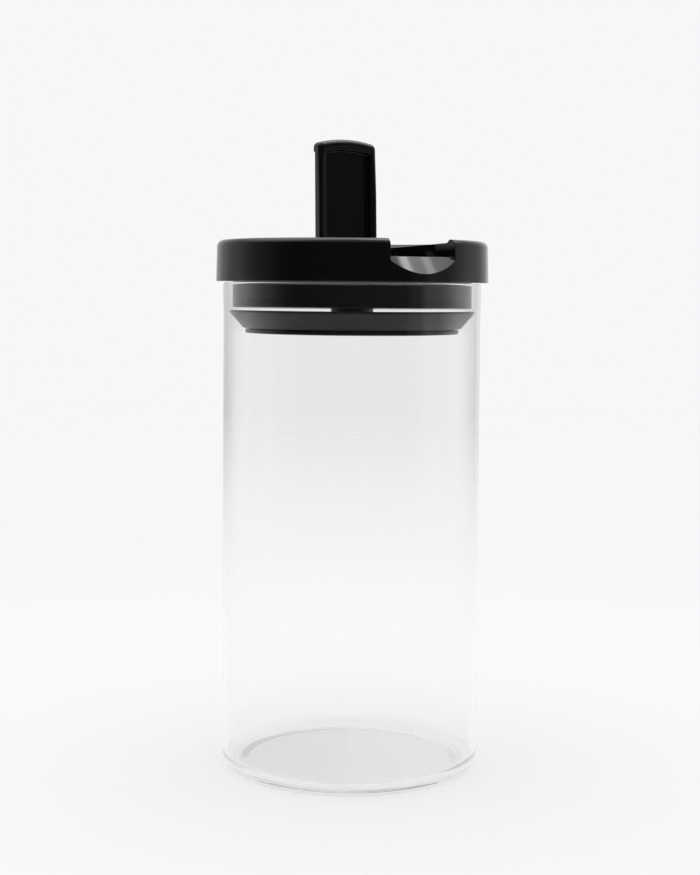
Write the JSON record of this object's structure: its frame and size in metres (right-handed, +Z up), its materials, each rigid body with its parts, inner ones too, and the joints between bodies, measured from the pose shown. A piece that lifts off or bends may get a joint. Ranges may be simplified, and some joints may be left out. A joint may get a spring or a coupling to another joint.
{
  "type": "glass storage canister with lever-lock lid",
  "caption": "Tall round glass canister whose gloss black lid has an upright lever that folds into a channel and squeezes a sealing ring against the glass.",
  "frame": {"origin": "centre of the jar's resting face", "axes": "+Z up along the jar's axis; the lever folds toward -Y, where the finger scoop is; +X completes the right-handed set"},
  "size_m": [0.108, 0.108, 0.2479],
  "materials": {
    "glass": "clear, polished",
    "gloss_black": "gloss black moulding",
    "silicone": "satin dark grey silicone",
    "steel": "plain steel"
  },
  "bodies": {
    "jar": {"glass_jar": "glass"},
    "lid": {"lid_cap": "gloss_black", "plug_collar": "gloss_black", "collar_screws": "steel", "return_spring": "steel"},
    "plunger": {"stem": "gloss_black", "lever_pin": "steel", "inner_plate": "gloss_black", "plate_screw": "steel", "sealing_ring": "silicone"},
    "lever": {"lever": "gloss_black"}
  },
  "joints": [
    {"name": "lid_lift", "type": "slide", "parent": "jar", "child": "lid", "axis": [0, 0, 1], "range_m": [0, 0.15]},
    {"name": "stem_lift", "type": "slide", "parent": "lid", "child": "plunger", "axis": [0, 0, 1], "range_m": [0, 0.001], "deforming": ["return_spring"]},
    {"name": "lever_fold", "type": "hinge", "parent": "plunger", "child": "lever", "pos_m": [0, 0, 0.1973], "axis": [1, 0, 0], "range_deg": [0, 91.6]}
  ],
  "couplings": [
    {"joint": "stem_lift", "follows": "lever_fold", "m_per_rad": 0.0006255}
  ]
}
